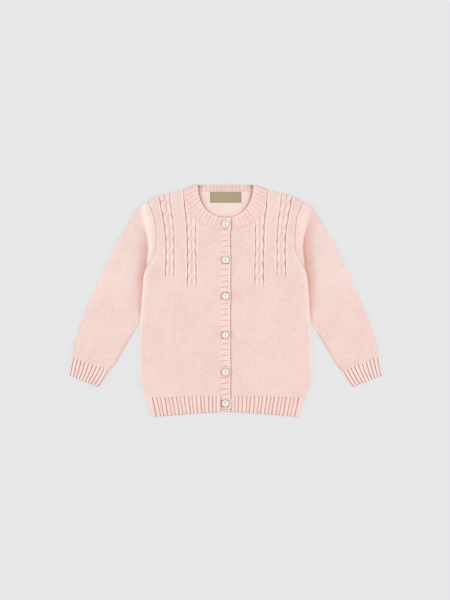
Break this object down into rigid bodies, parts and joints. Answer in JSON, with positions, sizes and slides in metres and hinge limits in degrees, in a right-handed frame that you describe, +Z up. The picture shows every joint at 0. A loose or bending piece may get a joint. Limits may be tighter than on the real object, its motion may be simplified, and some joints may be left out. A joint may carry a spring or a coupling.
{
  "type": "child's cardigan sweater, laid flat",
  "caption": "Round-necked knitted child's cardigan, buttoned up and laid flat, with cabled shoulders, long sleeves and ribbed edges.",
  "frame": {"origin": "middle of the laid-out cardigan's bounding box, on the surface that it lies on", "axes": "+Z up out of the front, +Y from hem to neck, +X towards the wearer's left sleeve"},
  "size_m": [0.5004, 0.3722, 0.0097],
  "materials": {
    "knit": "fine stocking stitch in soft pale pink wool and cotton yarn",
    "rib": "two by one rib in the same pale pink yarn",
    "label": "plain khaki woven ribbon",
    "button": "ivory two-hole button with a soft gloss"
  },
  "bodies": {
    "root": {"back": "knit", "front_right": "knit", "front_left": "knit", "sleeve_right": "knit", "sleeve_left": "knit", "hem_back": "rib", "hem_front_right": "rib", "hem_front_left": "rib", "cuff_right": "rib", "cuff_left": "rib", "neckband": "rib", "band_buttonhole": "rib", "band_button": "rib", "label": "label", "button_1": "button", "button_2": "button", "button_3": "button", "button_4": "button", "button_5": "button", "button_6": "button"}
  },
  "joints": []
}
